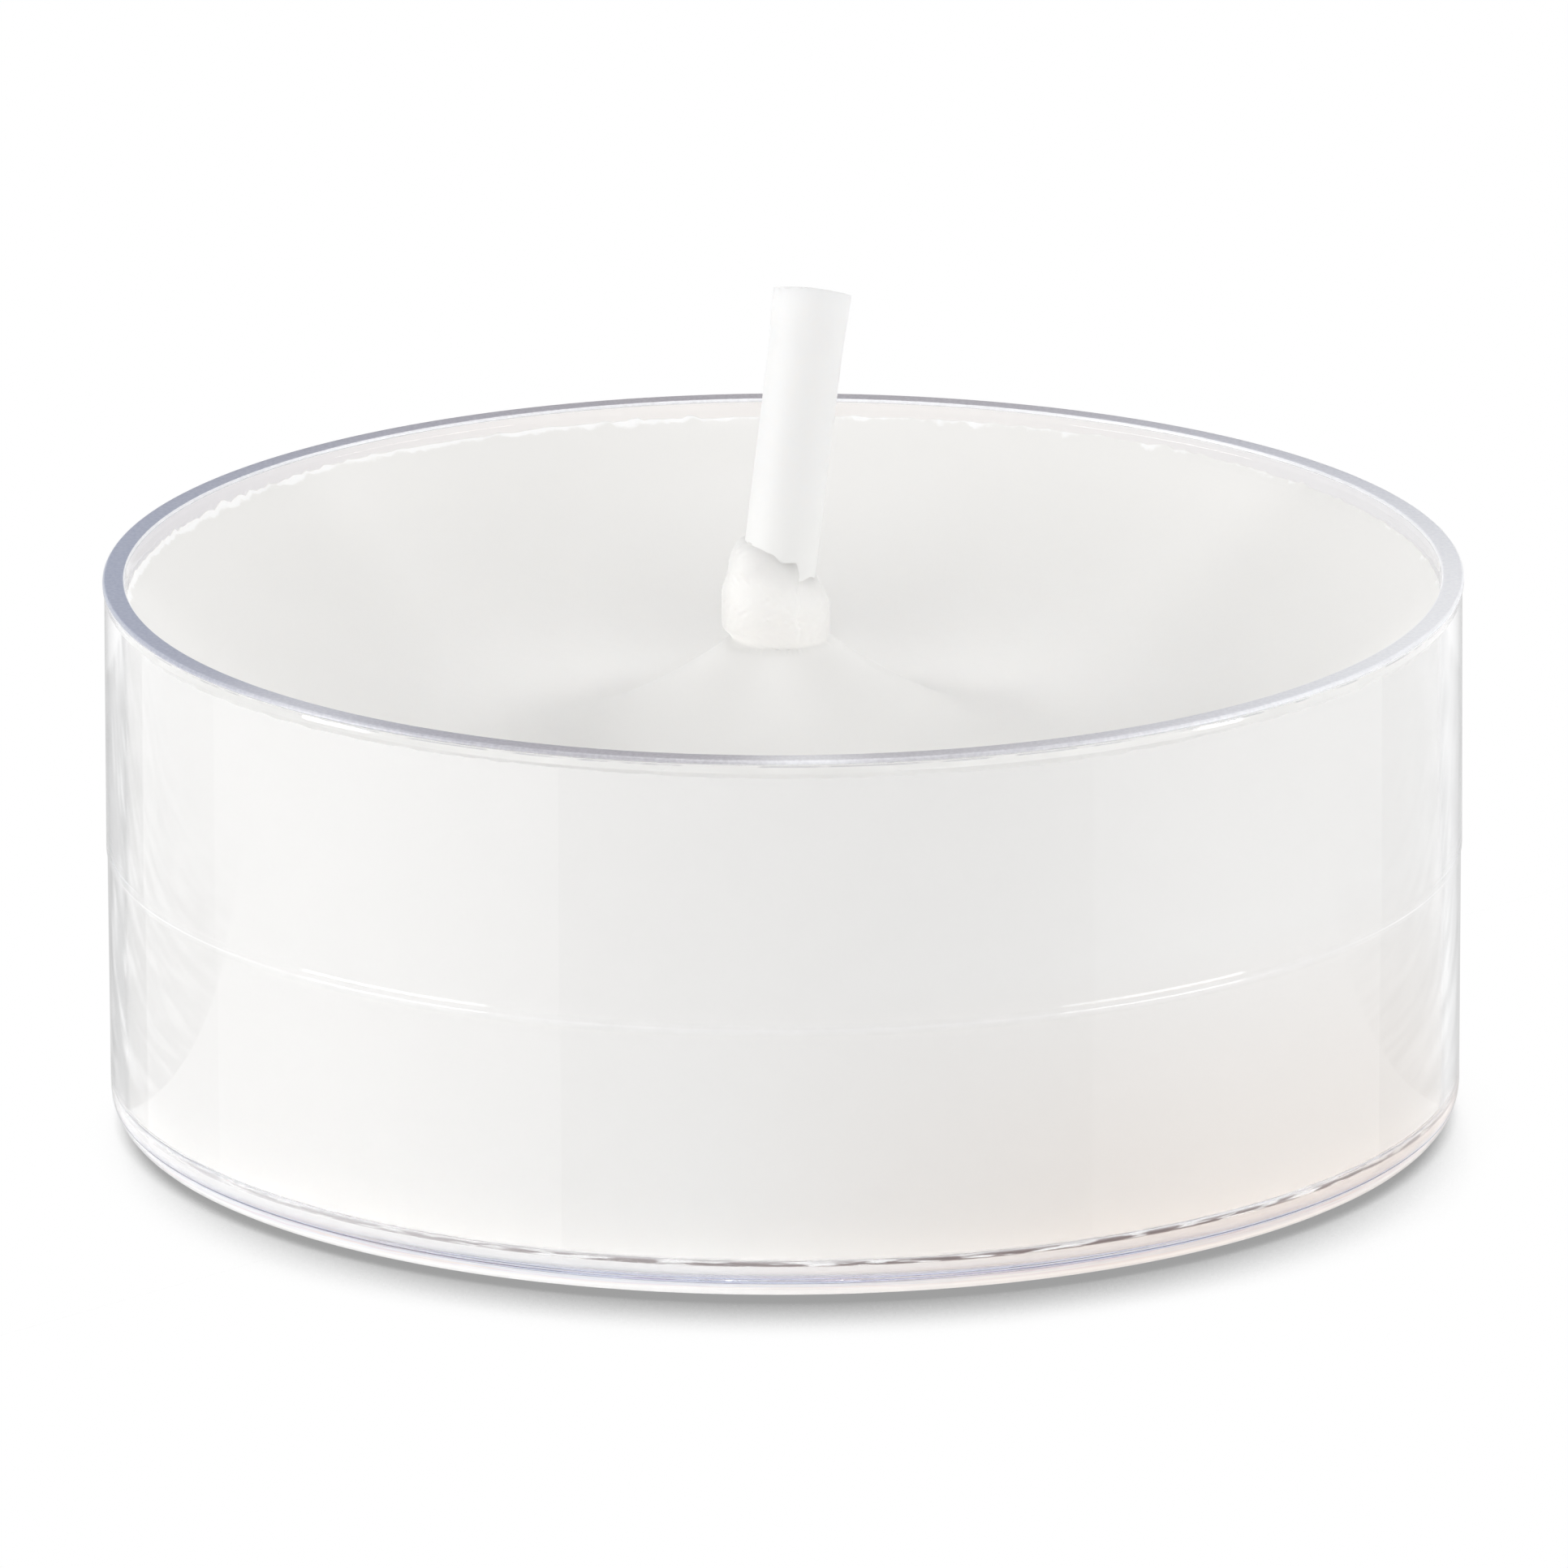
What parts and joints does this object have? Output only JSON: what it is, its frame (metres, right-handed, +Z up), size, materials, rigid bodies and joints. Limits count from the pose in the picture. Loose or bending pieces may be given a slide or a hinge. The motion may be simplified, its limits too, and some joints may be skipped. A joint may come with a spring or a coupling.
{
  "type": "tea light candle",
  "caption": "Small round wax candle in a clear moulded plastic cup, with a sunk wax top and a thick waxed wick standing in its middle.",
  "frame": {"origin": "middle of the cup's underside, on the surface the candle stands on", "axes": "+Z up along the cup's axis, +X the way the wick leans, -Y the front that the picture shows"},
  "size_m": [0.038, 0.038, 0.0241],
  "materials": {
    "clear_plastic": "clear injection-moulded polycarbonate, polished, with a faint blue-grey cast at its rim face",
    "paraffin_wax": "white cast paraffin wax, translucent, satin",
    "waxed_cotton": "cotton wick under a smooth satin coat of wax",
    "tinned_steel": "tin-plated sheet steel, stamped and drawn"
  },
  "bodies": {
    "root": {"cup": "clear_plastic", "wax": "paraffin_wax", "wick": "waxed_cotton", "wick_sustainer": "tinned_steel"}
  },
  "joints": []
}
